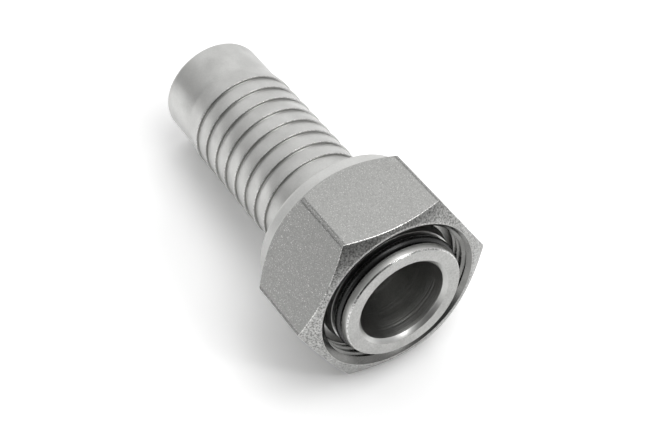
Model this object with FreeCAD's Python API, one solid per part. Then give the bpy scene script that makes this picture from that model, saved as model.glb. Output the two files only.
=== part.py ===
import FreeCAD, Part
import math
import os

# Hydraulic hose fitting for a 1 1/4 inch hose: a hexagon nut that swivels on a
# cone-ended stem, and the O-ring on the cone. All lengths are in millimetres.
# X is the fitting's axis and points out of the nut's open front. X = 0 is the
# nut's front rim. Z is up, square to one of the nut's flats.

# Swivel nut, inside: M45 x 2 thread, its flared mouth and its relief
thread_diameter = 45.0
thread_pitch = 2.0
thread_length = 15.0
mouth_flare = 0.72
relief_room = 0.3
relief_length = 3.0
seat_to_rear_end = 3.0
rear_opening_chamfer = 0.6

# Swivel nut, outside: the wall is what is left between the thread and a flat
nut_wall = 2.5
rim_land = 0.6
front_chamfer_angle = 27.8
rear_chamfer_angle = 42.0
nut_collar_step = 0.55
nut_collar_length = 3.87
nut_collar_rounding = 1.4
nut_collar_fillet = 0.8

# Room between the stem and the nut
head_clearance = 0.2
axial_play = 0.75
barb_clearance = 0.5

# Stem, sealing head
head_reach = 2.85
cone_length = 9.2
cone_half_angle = 12.0
face_edge_chamfer = 0.4
collar_face_width = 1.84
stem_collar_length = 15.5
stem_collar_chamfer = 0.3

# Stem, bore from end to end
bore_diameter = 25.4
bore_mouth_chamfer = 1.1
bore_tail_chamfer = 0.8

# Stem, barbed tail that the hose is pushed over
neck_length = 14.26
barb_count = 8
barb_pitch = 5.49
barb_height = 0.44
barb_crest_flat = 0.8
barb_groove_depth = 0.3
barb_groove_width = 0.5
barb_root_rise = 0.34
lead_ramp_length = 5.6
end_land_length = 13.1
end_land_wall = 2.75
end_land_rounding = 0.8

# O-ring and the groove that it sits in
ring_section_diameter = 2.5
ring_groove_from_face = 2.15
ring_groove_width = 3.65
ring_groove_depth = 1.8

# A metric nut's bore is smaller than its thread by this many pitches
thread_depth_in_pitches = 1.0825

# Worked out from the values above: radii of the nut
thread_radius = thread_diameter / 2
thread_minor_radius = thread_radius - thread_depth_in_pitches * thread_pitch / 2
mouth_radius = thread_radius + mouth_flare
rim_radius = mouth_radius + rim_land
flat_distance = thread_radius + nut_wall
corner_radius = flat_distance / math.cos(math.radians(30))
nut_collar_radius = flat_distance - nut_collar_step

# Radii of the stem
bore_radius = bore_diameter / 2
end_land_radius = bore_radius + end_land_wall
neck_radius = end_land_radius + barb_root_rise
crest_radius = neck_radius + barb_height
stem_collar_radius = thread_minor_radius - head_clearance
cone_large_radius = stem_collar_radius - collar_face_width
rear_opening_radius = crest_radius + barb_clearance

# Places along the axis, from the head backwards
cone_base = head_reach - cone_length
shoulder_front = cone_base - stem_collar_length
shoulder_rear = shoulder_front - (stem_collar_radius - neck_radius)
seat_front = shoulder_front - axial_play + head_clearance
seat_rear = seat_front - (thread_minor_radius - rear_opening_radius)
nut_rear = seat_rear - seat_to_rear_end
front_barb = shoulder_rear - neck_length
rear_barb = front_barb - (barb_count - 1) * barb_pitch
lead_start = rear_barb - barb_crest_flat - lead_ramp_length
tail_end = lead_start - end_land_length

origin = FreeCAD.Vector(0, 0, 0)
axis = FreeCAD.Vector(1, 0, 0)


def turned(outline):
    """Solid turned about X from an outline of (x, radius) points and arcs."""
    edges = []
    here = None
    for item in outline:
        if isinstance(item, tuple):
            there = FreeCAD.Vector(item[0], 0, item[1])
            if here is not None:
                edges.append(Part.LineSegment(here, there).toShape())
            here = there
        else:
            edges.append(Part.LineSegment(here, item.StartPoint).toShape())
            edges.append(item.toShape())
            here = item.EndPoint
    first = FreeCAD.Vector(outline[0][0], 0, outline[0][1])
    edges.append(Part.LineSegment(here, first).toShape())
    return Part.Face(Part.Wire(edges)).revolve(origin, axis, 360)


def rear_rounding(end, outer_radius, rounding):
    """Arc that rounds the outer edge of a turned end, from its face to its side."""
    points = []
    for degrees in (180, 135, 90):
        turn = math.radians(degrees)
        x = end + rounding + rounding * math.cos(turn)
        r = outer_radius - rounding + rounding * math.sin(turn)
        points.append(FreeCAD.Vector(x, 0, r))
    return Part.Arc(*points)


def collar_fillet(corner_x, corner_r, rise):
    """Hollow arc where the rear chamfer runs out into the round collar."""
    reach = nut_collar_fillet * math.tan(math.radians(rise / 2))
    points = []
    for degrees in (0, rise / 2, rise):
        turn = math.radians(degrees)
        x = corner_x - reach + nut_collar_fillet * math.sin(turn)
        r = corner_r + nut_collar_fillet * (1 - math.cos(turn))
        points.append(FreeCAD.Vector(x, 0, r))
    return Part.Arc(*points)


def cone_radius(x):
    """Radius of the stem's sealing cone at a place on the axis."""
    return cone_large_radius - (x - cone_base) * math.tan(math.radians(cone_half_angle))


def nut_outline():
    """Turned outline of the nut: front chamfer, hexagon, rear chamfer and round collar."""
    front_run = (corner_radius - rim_radius) * math.tan(math.radians(front_chamfer_angle))
    rear_run = (corner_radius - nut_collar_radius) * math.tan(math.radians(rear_chamfer_angle))
    collar_front = nut_rear + nut_collar_length
    return turned([
        (nut_rear, 0),
        rear_rounding(nut_rear, nut_collar_radius, nut_collar_rounding),
        collar_fillet(collar_front, nut_collar_radius, 90 - rear_chamfer_angle),
        (collar_front + rear_run, corner_radius),
        (-front_run, corner_radius),
        (0, rim_radius),
        (0, 0),
    ])


def nut_cavity():
    """Threaded mouth, thread relief, head bore, 45 degree seat and rear opening."""
    relief_radius = thread_radius + relief_room
    relief_rear = -thread_length - relief_length
    return turned([
        (nut_rear, 0),
        (nut_rear, rear_opening_radius + rear_opening_chamfer),
        (nut_rear + rear_opening_chamfer, rear_opening_radius),
        (seat_rear, rear_opening_radius),
        (seat_front, thread_minor_radius),
        (relief_rear, thread_minor_radius),
        (relief_rear, relief_radius),
        (thread_minor_radius - relief_radius - thread_length, relief_radius),
        (-thread_length, thread_minor_radius),
        (thread_minor_radius - mouth_radius, thread_minor_radius),
        (0, mouth_radius),
        (0, 0),
    ])


def swivel_nut():
    """Hexagon bar trimmed to the turned outline, two flats level, and bored out."""
    hexagon = []
    for k in range(7):
        turn = math.radians(60 * k)
        y = corner_radius * math.cos(turn)
        z = corner_radius * math.sin(turn)
        hexagon.append(FreeCAD.Vector(0, y, z))
    bar = Part.Face(Part.makePolygon(hexagon)).extrude(FreeCAD.Vector(nut_rear, 0, 0))
    return bar.common(nut_outline()).cut(nut_cavity())


def barbed_tail():
    """Saw-tooth barbs from the rear one forward, each with a ring groove at its step."""
    groove_radius = neck_radius - barb_groove_depth
    points = [(lead_start, end_land_radius)]
    for k in range(barb_count):
        step = rear_barb + k * barb_pitch
        points.append((step - barb_crest_flat, crest_radius))
        points.append((step, crest_radius))
        points.append((step, groove_radius))
        points.append((step + barb_groove_width, groove_radius))
        points.append((step + barb_groove_width, neck_radius))
    return points


def hose_stem():
    """Turned stem: bored through, with cone, ring groove, collar, shoulder and barbs."""
    groove_front = head_reach - ring_groove_from_face
    groove_rear = groove_front - ring_groove_width
    groove_radius = cone_radius(groove_front) - ring_groove_depth
    face_edge = head_reach - face_edge_chamfer
    return turned([
        (tail_end + bore_tail_chamfer, bore_radius),
        (tail_end, bore_radius + bore_tail_chamfer),
        rear_rounding(tail_end, end_land_radius, end_land_rounding),
        *barbed_tail(),
        (shoulder_rear, neck_radius),
        (shoulder_front, stem_collar_radius),
        (cone_base - stem_collar_chamfer, stem_collar_radius),
        (cone_base, stem_collar_radius - stem_collar_chamfer),
        (cone_base, cone_large_radius),
        (groove_rear, cone_radius(groove_rear)),
        (groove_rear, groove_radius),
        (groove_front, groove_radius),
        (groove_front, cone_radius(groove_front)),
        (face_edge, cone_radius(face_edge)),
        (head_reach, cone_radius(face_edge) - face_edge_chamfer),
        (head_reach, bore_radius + bore_mouth_chamfer),
        (head_reach - bore_mouth_chamfer, bore_radius),
    ])


def o_ring():
    """Rubber ring on the floor of its groove, midway between the groove's walls."""
    groove_front = head_reach - ring_groove_from_face
    section_radius = ring_section_diameter / 2
    ring_radius = cone_radius(groove_front) - ring_groove_depth + section_radius
    middle = FreeCAD.Vector(groove_front - ring_groove_width / 2, 0, 0)
    return Part.makeTorus(ring_radius, section_radius, middle, axis)


pieces = {
    "swivel_nut": swivel_nut(),
    "hose_stem": hose_stem(),
    "o_ring": o_ring(),
}

os.makedirs("parts", exist_ok=True)
for name, shape in pieces.items():
    shape.exportStep("parts/" + name + ".step")
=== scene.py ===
import math
import bpy
from mathutils import Matrix, Vector


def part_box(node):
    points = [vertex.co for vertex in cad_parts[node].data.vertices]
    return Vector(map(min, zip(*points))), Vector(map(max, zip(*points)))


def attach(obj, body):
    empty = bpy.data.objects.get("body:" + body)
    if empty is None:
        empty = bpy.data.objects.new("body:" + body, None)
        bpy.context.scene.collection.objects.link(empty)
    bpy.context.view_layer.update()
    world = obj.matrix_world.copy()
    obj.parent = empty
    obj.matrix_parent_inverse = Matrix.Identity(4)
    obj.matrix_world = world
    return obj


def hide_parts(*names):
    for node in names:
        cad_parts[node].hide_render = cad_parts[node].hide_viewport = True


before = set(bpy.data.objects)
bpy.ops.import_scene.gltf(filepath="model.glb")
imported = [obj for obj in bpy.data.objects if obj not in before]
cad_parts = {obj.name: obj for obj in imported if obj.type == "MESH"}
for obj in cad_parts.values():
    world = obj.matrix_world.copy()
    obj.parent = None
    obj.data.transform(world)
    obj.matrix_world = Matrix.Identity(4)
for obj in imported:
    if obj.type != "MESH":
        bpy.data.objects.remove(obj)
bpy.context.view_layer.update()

# Hose stem
# The stem is one piece of free-cutting steel, turned all over and bored through, then zinc plated.
# Its head carries the sealing cone and the O-ring groove, and its tail the barbs that hold the hose.
MM = 0.001
TURN_STEPS = 224

cone_length = 9.2
cone_slope = math.tan(math.radians(12))
collar_face_width = 1.84
face_edge_chamfer = 0.4
ring_groove_from_face = 2.15
ring_groove_width = 3.65
ring_groove_depth = 1.8
bore_radius = 12.7
bore_mouth_chamfer = 1.1
bore_tail_chamfer = 0.8
neck_length = 14.26
barb_count = 8
barb_pitch = 5.49
barb_height = 0.44
barb_root_rise = 0.34
barb_groove_depth = 0.3
barb_groove_width = 0.5
crest_flat = 0.8
crest_worn = 0.22
lead_ramp_length = 5.6
end_land_length = 13.1
end_land_wall = 2.75
end_rounding = 0.8

stem_low, stem_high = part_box("hose_stem")
tail_end = stem_low.x / MM
head_reach = stem_high.x / MM
collar_radius = stem_high.z / MM
cone_base = head_reach - cone_length
cone_large_radius = collar_radius - collar_face_width
face_edge = head_reach - face_edge_chamfer
ring_groove_front = head_reach - ring_groove_from_face
ring_groove_rear = ring_groove_front - ring_groove_width
end_land_radius = bore_radius + end_land_wall
neck_radius = end_land_radius + barb_root_rise
crest_radius = neck_radius + barb_height
barb_groove_radius = neck_radius - barb_groove_depth
lead_start = tail_end + end_land_length
rear_barb = lead_start + lead_ramp_length + crest_flat
shoulder_rear = rear_barb + (barb_count - 1) * barb_pitch + neck_length
shoulder_front = shoulder_rear + collar_radius - neck_radius


def turned(name, outline, edge_break):
    """Turns a closed outline of (x, radius) points about X, its corners first broken a little.
    The outline is drawn by extruding one point, and the lathe is the spin operator."""
    bpy.ops.object.select_all(action="DESELECT")
    bpy.ops.mesh.primitive_plane_add(size=MM)
    piece = bpy.context.object
    piece.name = name
    piece.data.name = name
    bpy.ops.object.mode_set(mode="EDIT")
    bpy.ops.mesh.merge(type="CENTER")
    draw_outline(outline)
    bpy.ops.mesh.bevel(offset=edge_break * MM, segments=3, affect="VERTICES")
    bpy.ops.mesh.spin(steps=TURN_STEPS, angle=math.tau, center=(0, 0, 0), axis=(1, 0, 0))
    bpy.ops.mesh.select_all(action="SELECT")
    bpy.ops.mesh.remove_doubles(threshold=0.001 * MM)
    bpy.ops.mesh.normals_make_consistent(inside=False)
    bpy.ops.object.mode_set(mode="OBJECT")
    bpy.ops.object.shade_smooth_by_angle(angle=math.radians(35))
    return piece


def draw_outline(outline):
    """Moves the one selected point to the outline's start and extrudes it round the outline."""
    bpy.ops.transform.translate(value=(outline[0][0] * MM, 0, outline[0][1] * MM))
    for (x, r), (next_x, next_r) in zip(outline, outline[1:] + outline[:1]):
        step = ((next_x - x) * MM, 0, (next_r - r) * MM)
        bpy.ops.mesh.extrude_vertices_move(TRANSFORM_OT_translate={"value": step})
    bpy.ops.mesh.select_all(action="SELECT")
    bpy.ops.mesh.remove_doubles(threshold=0.002 * MM)


def cone_radius(x):
    """Radius of the sealing cone at a place on the axis."""
    return cone_large_radius - (x - cone_base) * cone_slope


ring_groove_radius = cone_radius(ring_groove_front) - ring_groove_depth
barbs = []
for k in range(barb_count):
    barb_step = rear_barb + k * barb_pitch
    barbs += [
        (barb_step - crest_flat, crest_radius),
        (barb_step - crest_worn, crest_radius),
        (barb_step, crest_radius),
        (barb_step, barb_groove_radius),
        (barb_step + barb_groove_width, barb_groove_radius),
        (barb_step + barb_groove_width, neck_radius),
    ]
stem = turned("stem_turned", [
    (tail_end + bore_tail_chamfer, bore_radius),
    (tail_end, bore_radius + bore_tail_chamfer),
    (tail_end, end_land_radius - 0.75 * end_rounding),
    (tail_end + 0.25 * end_rounding, end_land_radius - 0.25 * end_rounding),
    (tail_end + end_rounding, end_land_radius),
    (lead_start, end_land_radius),
    *barbs,
    (shoulder_rear, neck_radius),
    (shoulder_front, collar_radius),
    (cone_base, collar_radius),
    (cone_base, cone_large_radius),
    (ring_groove_rear, cone_radius(ring_groove_rear)),
    (ring_groove_rear, ring_groove_radius),
    (ring_groove_front, ring_groove_radius),
    (ring_groove_front, cone_radius(ring_groove_front)),
    (face_edge, cone_radius(face_edge)),
    (head_reach, cone_radius(face_edge) - face_edge_chamfer),
    (head_reach, bore_radius + bore_mouth_chamfer),
    (head_reach - bore_mouth_chamfer, bore_radius),
], edge_break=0.06)


def linear(hex_colour):
    """A colour written as sRGB hex, turned to the linear values that a shader takes."""
    values = [int(hex_colour[i:i + 2], 16) / 255 for i in (1, 3, 5)]
    return [v / 12.92 if v <= 0.04045 else ((v + 0.055) / 1.055) ** 2.4 for v in values] + [1]


def add_node(material, kind, settings=(), **inputs):
    """Adds one node. settings are (attribute, value) pairs. Each input is a value or a socket, and
    is named by its label, with _ for a space, or by i and its number."""
    tree = material.node_tree
    node = tree.nodes.new(kind)
    for attribute, value in settings:
        setattr(node, attribute, value)
    for label, value in inputs.items():
        numbered = label[0] == "i" and label[1:].isdigit()
        socket = node.inputs[int(label[1:]) if numbered else label.replace("_", " ")]
        if isinstance(value, bpy.types.NodeSocket):
            tree.links.new(value, socket)
        else:
            socket.default_value = value
    return node


def new_material(name):
    """An empty material, to which add_node adds the nodes."""
    material = bpy.data.materials.new(name)
    material.use_nodes = True
    material.node_tree.nodes.clear()
    return material


def add_finish(piece, material):
    """Adds a material to the piece and returns the number that its faces take."""
    piece.data.materials.append(material)
    return len(piece.data.materials) - 1


def place_and_rings(material):
    """A place on the piece, and the same place as (along X, distance from X), in which a pattern
    runs round the piece in rings."""
    place = add_node(material, "ShaderNodeTexCoord").outputs["Object"]
    part = add_node(material, "ShaderNodeSeparateXYZ", Vector=place)
    across = add_node(
        material, "ShaderNodeCombineXYZ", Y=part.outputs["Y"], Z=part.outputs["Z"],
    )
    radius = add_node(
        material, "ShaderNodeVectorMath", [("operation", "LENGTH")], i0=across.outputs[0],
    ).outputs["Value"]
    rings = add_node(material, "ShaderNodeCombineXYZ", X=part.outputs["X"], Y=radius)
    return place, rings.outputs[0]


def zinc_plated_turned_steel(name, dark, pale, metal, roughness, marks, speckle):
    """Turned steel under thin zinc: the fine rings of the tool, a grain and the slightly cloudy tone
    of the plating bath. marks and speckle are how strongly the rings and the grain show. Both are
    drawn coarser than the real ones, which are finer than a pixel."""
    mark_depth = 0.12 * MM
    cloud_gloss = 0.04
    m = new_material(name)
    place, rings = place_and_rings(m)
    ring = add_node(m, "ShaderNodeTexNoise", Vector=rings, Scale=1 / (0.35 * MM), Detail=3.0)
    bath = add_node(m, "ShaderNodeTexNoise", Vector=place, Scale=1 / (7 * MM), Detail=3.0)
    speck = add_node(m, "ShaderNodeTexNoise", Vector=place, Scale=1 / (0.5 * MM), Detail=3.0)
    cloud = add_node(m, "ShaderNodeMapRange", Value=bath.outputs[0], From_Min=0.3, From_Max=0.7)
    tone = add_node(
        m, "ShaderNodeMix", [("data_type", "RGBA")],
        Factor=cloud.outputs[0], i6=linear(dark), i7=linear(pale),
    )
    grain = add_node(
        m, "ShaderNodeMapRange",
        Value=speck.outputs[0], From_Min=0.35, From_Max=0.65, To_Min=1 - speckle,
    )
    grained = add_node(
        m, "ShaderNodeVectorMath", [("operation", "SCALE")],
        i0=tone.outputs[2], Scale=grain.outputs[0],
    )
    gloss = add_node(
        m, "ShaderNodeMapRange", Value=cloud.outputs[0],
        To_Min=roughness + cloud_gloss, To_Max=roughness - cloud_gloss,
    )
    ring_height = add_node(
        m, "ShaderNodeBump", Strength=marks, Distance=mark_depth, Height=ring.outputs[0],
    )
    height = add_node(
        m, "ShaderNodeBump", Strength=speckle, Distance=mark_depth,
        Height=speck.outputs[0], Normal=ring_height.outputs[0],
    )
    shader = add_node(
        m, "ShaderNodeBsdfPrincipled", Base_Color=grained.outputs[0], Metallic=metal,
        Roughness=gloss.outputs[0], Normal=height.outputs[0],
    )
    add_node(m, "ShaderNodeOutputMaterial", Surface=shader.outputs[0])
    return m


# The outside is smooth and even. The bore keeps the rings of the boring bar, which streak its
# shine, and is painted a little darker as painted shade. The faced head is a little duller, and
# edges that rub in handling are worn bright, painted paler still as a painted highlight.
stem_plain = add_finish(stem, zinc_plated_turned_steel(
    "zinc_plated_turned_steel", "#bebebc", "#cececc", metal=1.0, roughness=0.34,
    marks=0.03, speckle=0.06,
))
# The bore's colour is painted a little darker than the outside, as painted shade inside the bore.
stem_bored_shaded = add_finish(stem, zinc_plated_turned_steel(
    "zinc_plated_bored_steel", "#aeaeac", "#c0c0be", metal=1.0, roughness=0.34,
    marks=1.0, speckle=0.1,
))
stem_faced = add_finish(stem, zinc_plated_turned_steel(
    "zinc_plated_faced_steel", "#b4b4b2", "#c0c0be", metal=1.0, roughness=0.4,
    marks=0.1, speckle=0.2,
))
# Edges rubbed bright in handling, their colour also painted paler as a painted highlight line.
worn_and_highlit_steel = zinc_plated_turned_steel(
    "zinc_plated_worn_highlit_edge", "#d8d8d6", "#f0f0ee", metal=1.0, roughness=0.22,
    marks=0.0, speckle=0.6,
)
stem_worn_highlit = add_finish(stem, worn_and_highlit_steel)
for face in stem.data.polygons:
    along = face.center.x / MM
    from_axis = math.hypot(face.center.y, face.center.z) / MM
    in_bore = from_axis < bore_radius + 0.01
    on_face = along > head_reach - 0.05
    on_crest = along < 0 and from_axis > crest_radius - 0.1
    on_crest_edge = on_crest and (rear_barb - along) % barb_pitch < crest_worn
    on_face_edge = along > face_edge and from_axis > bore_radius + 3
    if in_bore:
        face.material_index = stem_bored_shaded
    elif on_face:
        face.material_index = stem_faced
    elif on_crest_edge or on_face_edge:
        face.material_index = stem_worn_highlit
    else:
        face.material_index = stem_plain
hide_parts("hose_stem")
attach(stem, "stem")

# O-ring
# A black nitrile rubber ring, moulded, that lies on the floor of the groove in the cone.
# It is drawn a hair thinner than its solid.
drawn_share = 0.998
o_ring_low, o_ring_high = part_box("o_ring")
ring_section = (o_ring_high.x - o_ring_low.x) / 2

bpy.ops.object.select_all(action="DESELECT")
bpy.ops.mesh.primitive_torus_add(
    major_segments=TURN_STEPS,
    minor_segments=28,
    major_radius=o_ring_high.z - ring_section,
    minor_radius=ring_section * drawn_share,
    location=((o_ring_low.x + o_ring_high.x) / 2, 0, 0),
    rotation=(0, math.pi / 2, 0),
)
o_ring = bpy.context.object
o_ring.name = "o_ring_rubber"
bpy.ops.object.transform_apply(location=True, rotation=True, scale=True)
bpy.ops.object.shade_smooth()


def nitrile_rubber():
    """Moulded nitrile rubber: near black, a little shiny where the mould was polished."""
    m = new_material("nitrile_rubber")
    place = add_node(m, "ShaderNodeTexCoord").outputs["Object"]
    skin = add_node(m, "ShaderNodeTexNoise", Vector=place, Scale=1 / (0.5 * MM), Detail=3.0)
    gloss = add_node(
        m, "ShaderNodeMapRange",
        Value=skin.outputs[0], From_Min=0.3, From_Max=0.7, To_Min=0.24, To_Max=0.34,
    )
    height = add_node(m, "ShaderNodeBump", Strength=0.3, Distance=0.01 * MM, Height=skin.outputs[0])
    shader = add_node(
        m, "ShaderNodeBsdfPrincipled", Base_Color=linear("#0c0c0c"),
        Roughness=gloss.outputs[0], Normal=height.outputs[0],
    )
    add_node(m, "ShaderNodeOutputMaterial", Surface=shader.outputs[0])
    return m


o_ring.data.materials.append(nitrile_rubber())
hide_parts("o_ring")
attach(o_ring, "stem")

# Swivel nut
# The nut is cut from drawn hexagon bar: chamfered in front, turned round at the rear, bored and
# threaded, and zinc plated. Its rear opening slips over the tail, and its seat stops on the
# shoulder of the stem.
thread_major = 22.5
thread_pitch = 2.0
thread_turns = 8
thread_end = -15.0
head_clearance = 0.2
barb_clearance = 0.5
relief_room = 0.3
relief_length = 3.0
seat_to_rear_end = 3.0
mouth_flare = 0.72
rim_land = 0.6
rear_opening_chamfer = 0.6
nut_collar_step = 0.55
nut_collar_length = 3.87
nut_collar_rounding = 1.4
nut_collar_fillet = 0.8
front_slope = math.radians(27.8)
rear_slope = math.radians(42)
corner_rounding = 0.6
edge_rounding = 0.5

nut_low, nut_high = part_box("swivel_nut")
nut_rear = nut_low.x / MM
flat_distance = nut_high.z / MM
corner_radius = flat_distance / math.cos(math.radians(30))
thread_minor = collar_radius + head_clearance
relief_radius = thread_major + relief_room
relief_end = thread_end - relief_length
mouth_radius = thread_major + mouth_flare
rim_radius = mouth_radius + rim_land
rear_opening_radius = crest_radius + barb_clearance
seat_rear = nut_rear + seat_to_rear_end
seat_front = seat_rear + thread_minor - rear_opening_radius
nut_collar_radius = flat_distance - nut_collar_step
nut_collar_front = nut_rear + nut_collar_length
front_run = (corner_radius - rim_radius) * math.tan(front_slope)
rear_run = (corner_radius - nut_collar_radius) * math.tan(rear_slope)


def arc(middle_x, middle_r, radius, start, end, pieces):
    """Points on an arc of the outline, its angles in degrees from the X axis."""
    points = []
    for k in range(pieces + 1):
        turn = math.radians(start + (end - start) * k / pieces)
        points.append((middle_x + radius * math.cos(turn), middle_r + radius * math.sin(turn)))
    return points


def rear_rounding():
    """The rounded rear edge of the nut's collar."""
    middle_x = nut_rear + nut_collar_rounding
    middle_r = nut_collar_radius - nut_collar_rounding
    return arc(middle_x, middle_r, nut_collar_rounding, start=180, end=90, pieces=6)


def collar_fillet():
    """The hollow arc from the collar up into the rear chamfer."""
    rise = 90 - math.degrees(rear_slope)
    middle_x = nut_collar_front - nut_collar_fillet * math.tan(math.radians(rise / 2))
    middle_r = nut_collar_radius + nut_collar_fillet
    return arc(middle_x, middle_r, nut_collar_fillet, start=-90, end=rise - 90, pieces=4)


# The turned outline stands this far outside the hexagon's corners, so that it doesn't cut them
spare = 0.01
nut = turned("nut_machined", [
    (nut_rear + rear_opening_chamfer, rear_opening_radius),
    (nut_rear, rear_opening_radius + rear_opening_chamfer),
    *rear_rounding(),
    *collar_fillet(),
    (nut_collar_front + rear_run, corner_radius + spare),
    (-front_run, corner_radius + spare),
    (0, rim_radius),
    (0, mouth_radius),
    (thread_minor - mouth_radius, thread_minor),
    (thread_end, thread_minor),
    (thread_end + thread_minor - relief_radius, relief_radius),
    (relief_end, relief_radius),
    (relief_end, thread_minor),
    (seat_front, thread_minor),
    (seat_rear, rear_opening_radius),
], edge_break=0.08)

# The hexagon bar, twice as long as the nut, with its six long edges a little rounded
bpy.ops.object.select_all(action="DESELECT")
bpy.ops.mesh.primitive_cylinder_add(
    vertices=6,
    radius=corner_radius * MM,
    depth=-nut_rear * 2 * MM,
    location=(nut_rear / 2 * MM, 0, 0),
    rotation=(0, math.pi / 2, 0),
)
hexagon = bpy.context.object
hexagon.name = "hexagon_bar"
bpy.ops.object.transform_apply(location=True, rotation=True, scale=True)
for edge in hexagon.data.edges:
    start, end = [hexagon.data.vertices[i].co for i in edge.vertices]
    edge.select = abs(start.x - end.x) > MM
bpy.ops.object.mode_set(mode="EDIT")
bpy.ops.mesh.select_mode(type="EDGE")
bpy.ops.mesh.bevel(offset=corner_rounding * MM, segments=5, affect="EDGES")
bpy.ops.mesh.select_mode(type="VERT")
bpy.ops.object.mode_set(mode="OBJECT")


def finish_with(piece, kind, **settings):
    """Adds one modifier to the piece and applies it."""
    bpy.ops.object.select_all(action="DESELECT")
    bpy.context.view_layer.objects.active = piece
    piece.select_set(True)
    modifier = piece.modifiers.new(kind.lower(), kind)
    for name, value in settings.items():
        setattr(modifier, name, value)
    bpy.ops.object.modifier_apply(modifier=modifier.name)


finish_with(nut, "BOOLEAN", operation="INTERSECT", solver="EXACT", object=hexagon)
bpy.data.objects.remove(hexagon)
finish_with(
    nut, "BEVEL", width=edge_rounding * MM, segments=3,
    limit_method="ANGLE", angle_limit=math.radians(40),
)

# The thread: one V of the cutting tool, swept along the helix by the Screw modifier. The V is
# given by half its width at its base, which overlaps the bore, and half its width at its tip.
tooth_base = 0.875
tooth_tip = 0.15
tooth_overlap = 0.2
helix_steps = 96
bpy.ops.object.select_all(action="DESELECT")
bpy.ops.mesh.primitive_plane_add(size=MM)
tap = bpy.context.object
tap.name = "tap"
bpy.ops.object.mode_set(mode="EDIT")
bpy.ops.mesh.merge(type="CENTER")
draw_outline([
    (thread_end - tooth_base, thread_minor - tooth_overlap),
    (thread_end + tooth_base, thread_minor - tooth_overlap),
    (thread_end + tooth_tip, thread_major),
    (thread_end - tooth_tip, thread_major),
])
bpy.ops.object.mode_set(mode="OBJECT")
finish_with(
    tap, "SCREW",
    axis="X", angle=math.tau, screw_offset=thread_pitch * MM, iterations=thread_turns,
    steps=helix_steps, render_steps=helix_steps, use_merge_vertices=False,
)
bpy.ops.object.mode_set(mode="EDIT")
bpy.ops.mesh.select_all(action="SELECT")
bpy.ops.mesh.remove_doubles(threshold=0.001 * MM)
bpy.ops.mesh.fill_holes(sides=4)
bpy.ops.mesh.normals_make_consistent(inside=False)
bpy.ops.object.mode_set(mode="OBJECT")
finish_with(nut, "BOOLEAN", operation="DIFFERENCE", solver="EXACT", object=tap)
bpy.data.objects.remove(tap)
bpy.ops.object.shade_smooth_by_angle(angle=math.radians(30))


def zinc_plated_drawn_steel():
    """Drawn hexagon bar under zinc: a fine grain; crystals, glossier than the rest, whose colour is
    also painted near white as painted glints; and a ragged dark band of painted shade along each
    corner's rounding, lighter again at the corner's very edge. The grain and the crystals are
    drawn as coarse as a pixel or two, because the real ones are finer."""
    dull, bright = 0.67, 0.77
    band_start, band_full, edge_start, edge_full = [
        (corner_radius - depth) * MM for depth in (0.32, 0.17, 0.12, 0.04)
    ]
    m = new_material("zinc_plated_drawn_steel")
    place, rings = place_and_rings(m)
    radius = add_node(m, "ShaderNodeSeparateXYZ", Vector=rings).outputs["Y"]
    grain = add_node(m, "ShaderNodeTexNoise", Vector=place, Scale=1 / (0.4 * MM), Detail=2.0)
    crystal = add_node(m, "ShaderNodeTexNoise", Vector=place, Scale=1 / (0.25 * MM), Detail=0.0)
    mottle = add_node(m, "ShaderNodeMapRange", Value=grain.outputs[0], From_Min=0.3, From_Max=0.7)
    tone = add_node(
        m, "ShaderNodeMix", [("data_type", "RGBA")],
        Factor=mottle.outputs[0], i6=linear("#a0a09e"), i7=linear("#b4b4b2"),
    )
    ragged = add_node(
        m, "ShaderNodeMath", [("operation", "MULTIPLY_ADD")],
        i0=grain.outputs[0], i1=0.3 * MM, i2=radius,
    )
    band = add_node(
        m, "ShaderNodeMapRange",
        Value=ragged.outputs[0], From_Min=band_start, From_Max=band_full, To_Max=0.55,
    )
    edge = add_node(
        m, "ShaderNodeMapRange",
        Value=ragged.outputs[0], From_Min=edge_start, From_Max=edge_full, To_Min=1.0, To_Max=0.4,
    )
    corner_shade = add_node(
        m, "ShaderNodeMath", [("operation", "MULTIPLY")], i0=band.outputs[0], i1=edge.outputs[0],
    )
    # The corner band is painted shade: the colour is mixed towards dark grey by the band, less at
    # the very edge.
    corner_shaded = add_node(
        m, "ShaderNodeMix", [("data_type", "RGBA")],
        Factor=corner_shade.outputs[0], i6=tone.outputs[2], i7=linear("#3c3c3c"),
    )
    # Painted glints: the crystals' colour is raised to near white, and they are also made more
    # metallic and glossier.
    painted_glint = add_node(
        m, "ShaderNodeMapRange", Value=crystal.outputs[0], From_Min=dull, From_Max=bright,
    )
    with_painted_glints = add_node(
        m, "ShaderNodeMix", [("data_type", "RGBA")],
        Factor=painted_glint.outputs[0], i6=corner_shaded.outputs[2], i7=linear("#eaeae8"),
    )
    metal = add_node(m, "ShaderNodeMapRange", Value=painted_glint.outputs[0], To_Min=0.45)
    gloss = add_node(m, "ShaderNodeMapRange", Value=painted_glint.outputs[0], To_Min=0.6, To_Max=0.35)
    height = add_node(
        m, "ShaderNodeBump", Strength=0.6, Distance=0.06 * MM, Height=grain.outputs[0],
    )
    shader = add_node(
        m, "ShaderNodeBsdfPrincipled", Base_Color=with_painted_glints.outputs[2],
        Metallic=metal.outputs[0], Roughness=gloss.outputs[0], Normal=height.outputs[0],
    )
    add_node(m, "ShaderNodeOutputMaterial", Surface=shader.outputs[0])
    return m


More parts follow.
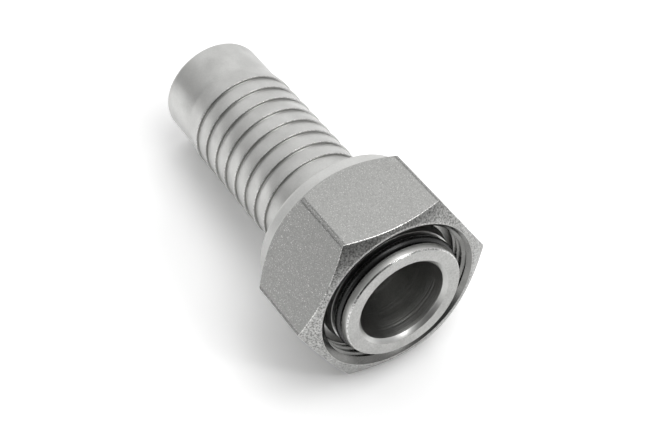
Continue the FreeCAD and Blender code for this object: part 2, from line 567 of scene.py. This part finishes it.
# The collar and the inside are matt from the bath. The thread is painted darker, as painted shade
# inside the nut. The front chamfer glitters with a coarse grain, and its edge with the flats is
# worn, its colour painted pale as a painted highlight.
worn_reach = 0.6
facing_front = 0.8
leaning_front = 0.05
nut.data.materials.clear()
nut_turned = add_finish(nut, zinc_plated_turned_steel(
    "zinc_plated_matt_steel", "#cececc", "#d8d8d6", metal=0.5, roughness=0.5,
    marks=0.02, speckle=0.06,
))
nut_drawn = add_finish(nut, zinc_plated_drawn_steel())
# The thread's colour is painted darker than the rest, as painted shade inside the nut.
nut_tapped_shaded = add_finish(nut, zinc_plated_turned_steel(
    "zinc_plated_tapped_steel", "#787876", "#8c8c8a", metal=1.0, roughness=0.26,
    marks=0.03, speckle=0.06,
))
nut_chamfered = add_finish(nut, zinc_plated_turned_steel(
    "zinc_plated_chamfered_steel", "#b8b8b6", "#c4c4c2", metal=1.0, roughness=0.33,
    marks=0.04, speckle=0.66,
))
nut_worn_highlit = add_finish(nut, worn_and_highlit_steel)
for face in nut.data.polygons:
    along = face.center.x / MM
    from_axis = math.hypot(face.center.y, face.center.z) / MM
    in_front = along > -front_run - worn_reach and from_axis > mouth_radius + 0.1
    if in_front and face.normal.x > facing_front:
        face.material_index = nut_chamfered
    elif in_front and face.normal.x > leaning_front:
        face.material_index = nut_worn_highlit
    elif from_axis > nut_collar_radius + 0.3:
        face.material_index = nut_drawn
    elif from_axis < mouth_radius and along > relief_end:
        face.material_index = nut_tapped_shaded
    else:
        face.material_index = nut_turned
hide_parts("swivel_nut")
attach(nut, "nut")

# Floor
# A plain white sheet. The fitting lies on the rear edge of the nut's lower flat and on its tail, so
# the sheet slopes as it does under the real part, while the fitting keeps the frame of the CAD.
touch_x = (nut_collar_front + (flat_distance - nut_collar_radius) * math.tan(rear_slope)) * MM
tail_x = (tail_end + end_rounding) * MM
floor_slope = math.atan2((flat_distance - end_land_radius) * MM, touch_x - tail_x)
bpy.ops.object.select_all(action="DESELECT")
bpy.ops.mesh.primitive_plane_add(
    size=4, location=(touch_x, 0, -flat_distance * MM), rotation=(0, floor_slope, 0),
)
floor = bpy.context.object
floor.name = "floor"


def white_paper():
    """Matt white paper. The camera, exposed for the steel, sees it brighter than white, straight or
    in the steel, so that only the fitting's shadow stays grey. The light that it throws back to the
    fitting is that of real paper."""
    exposed = (1.22, 1.22, 1.22, 1)
    m = new_material("white_paper")
    ray = add_node(m, "ShaderNodeLightPath").outputs
    direct_or_mirrored = add_node(
        m, "ShaderNodeVectorMath", [("operation", "ADD")],
        i0=ray["Is Camera Ray"], i1=ray["Is Glossy Ray"],
    )
    seen = add_node(
        m, "ShaderNodeVectorMath", [("operation", "ADD")],
        i0=direct_or_mirrored.outputs[0], i1=ray["Is Transmission Ray"],
    )
    white = add_node(
        m, "ShaderNodeMix", [("data_type", "RGBA")],
        Factor=seen.outputs[0], i6=linear("#f0f0f0"), i7=exposed,
    )
    paper = add_node(m, "ShaderNodeBsdfDiffuse", Color=white.outputs[2])
    add_node(m, "ShaderNodeOutputMaterial", Surface=paper.outputs[0])
    return m


floor.data.materials.append(white_paper())

# Light
# A pale room, brightest above and behind to the right and plain white to the camera, with a large
# soft light overhead, a small one in front that gives the bore's mouth its highlight, and a low
# fill at the left.
bright_side = Vector((-0.54, 0.6, 0.6)).normalized()
dim_level, bright_level = 0.08, 1.06
dim_until, bright_from = -0.4, 0.95
room = bpy.data.worlds.new("room")
bpy.context.scene.world = room
room.use_nodes = True
room.node_tree.nodes.clear()
look = add_node(room, "ShaderNodeTexCoord").outputs["Generated"]
facing = add_node(
    room, "ShaderNodeVectorMath", [("operation", "DOT_PRODUCT")], i0=look, i1=bright_side,
)
level = add_node(
    room, "ShaderNodeMapRange", Value=facing.outputs["Value"],
    From_Min=dim_until, From_Max=bright_from, To_Min=dim_level, To_Max=bright_level,
)
camera_ray = add_node(room, "ShaderNodeLightPath").outputs["Is Camera Ray"]
shown = add_node(
    room, "ShaderNodeMix", [("data_type", "FLOAT")], Factor=camera_ray, i2=level.outputs[0], i3=1.0,
)
wall = add_node(room, "ShaderNodeBackground", Color=(1, 1, 1, 1), Strength=shown.outputs[0])
add_node(room, "ShaderNodeOutputWorld", Surface=wall.outputs[0])
aim = Vector((-0.03, 0, 0))


def soft_light(name, place, size, power):
    """A square soft light that faces the fitting."""
    lamp = bpy.data.lights.new(name, "AREA")
    lamp.shape = "SQUARE"
    lamp.size = size
    lamp.energy = power
    light = bpy.data.objects.new(name, lamp)
    light.location = place
    light.rotation_euler = (aim - Vector(place)).to_track_quat("-Z", "Y").to_euler()
    bpy.context.scene.collection.objects.link(light)


soft_light("overhead", (0.20, 0.15, 0.71), size=0.45, power=1.7)
soft_light("front", (0.52, 0.25, 0.45), size=0.12, power=0.6)
soft_light("fill", (0.22, -0.68, 0.22), size=0.40, power=0.75)

# Camera
# The place and turn of the photograph's camera, worked out from the nut and the tail. It looks
# down on the nut's open front, with a long lens from less than half a metre away.
camera_place = Vector((0.23617, -0.15327, 0.31518))
camera_right = Vector((0.52281, 0.85160, -0.03796))
camera_up = Vector((-0.59278, 0.39519, 0.70174))
turn = Matrix((camera_right, camera_up, camera_right.cross(camera_up))).transposed()
camera_data = bpy.data.cameras.new("camera")
camera_data.lens = 90.23
camera_data.sensor_width = 36.0
camera = bpy.data.objects.new("camera", camera_data)
camera.matrix_world = Matrix.Translation(camera_place) @ turn.to_4x4()
bpy.context.scene.collection.objects.link(camera)
bpy.context.scene.camera = camera

bpy.context.scene.view_settings.view_transform = "Standard"
